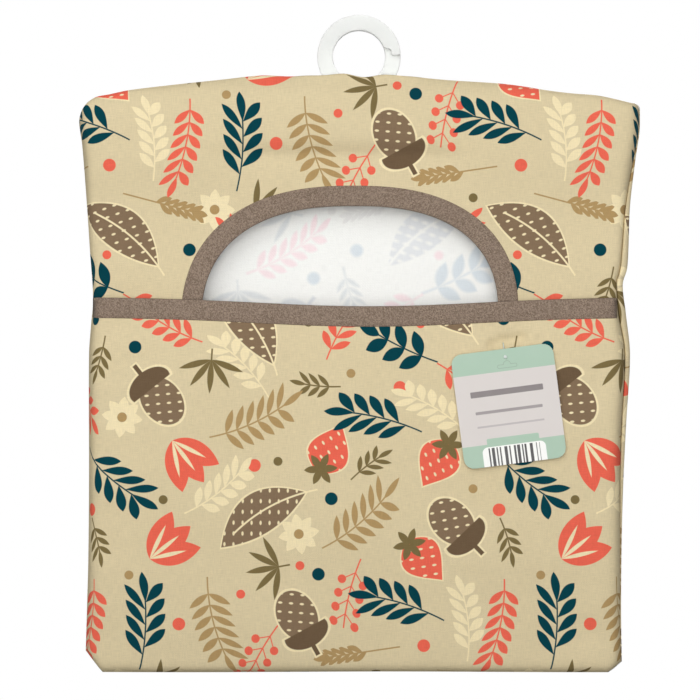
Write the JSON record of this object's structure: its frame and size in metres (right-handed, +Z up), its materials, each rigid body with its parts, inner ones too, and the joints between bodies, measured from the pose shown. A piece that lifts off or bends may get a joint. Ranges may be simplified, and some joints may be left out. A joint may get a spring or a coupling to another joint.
{
  "type": "peg bag",
  "caption": "Flat cotton clothes-peg bag with an arched, bound mouth above a pocket, hung on a line by flat hangers whose opposed hooks close into a ring, with a card tag.",
  "frame": {"origin": "the point where the clothes line bears on the inside top of the hooks, midway between the hangers", "axes": "+Z up along the hanging bag, -Y out of the front with the mouth and the tag, +X to the right seen from the front"},
  "size_m": [0.3, 0.0265, 0.3523],
  "materials": {
    "hanger_plastic": "satin moulded white polypropylene",
    "printed_cotton": "plain-weave cotton, beige ground with a small all-over print",
    "binding_tape": "taupe cotton bias binding",
    "tag_card": "coated card, pale grey with mint bands",
    "fastener_nylon": "translucent white nylon"
  },
  "bodies": {
    "hanger_front": {"front_hanger": "hanger_plastic"},
    "hanger_rear": {"rear_hanger": "hanger_plastic"},
    "bag": {"back_panel": "printed_cotton", "front_yoke": "printed_cotton", "pocket_panel": "printed_cotton", "arch_binding": "binding_tape", "pocket_binding": "binding_tape"},
    "tag": {"swing_tag": "tag_card", "tag_fastener": "fastener_nylon"}
  },
  "joints": [
    {"name": "rear_hanger_tilt", "type": "hinge", "parent": "hanger_front", "child": "hanger_rear", "pos_m": [0, 0.0002, -0.063], "axis": [-1, 0, 0], "range_deg": [0, 4], "stiffness_Nm_per_rad": 0.02, "springref_deg": -5.73},
    {"name": "bag_lift", "type": "slide", "parent": "hanger_front", "child": "bag", "axis": [0, 0, 1], "range_m": [0, 0.04]},
    {"name": "tag_turn", "type": "hinge", "parent": "bag", "child": "tag", "pos_m": [0.077, 0, -0.16755], "axis": [0, 1, 0], "range_deg": [-90, 90]}
  ]
}
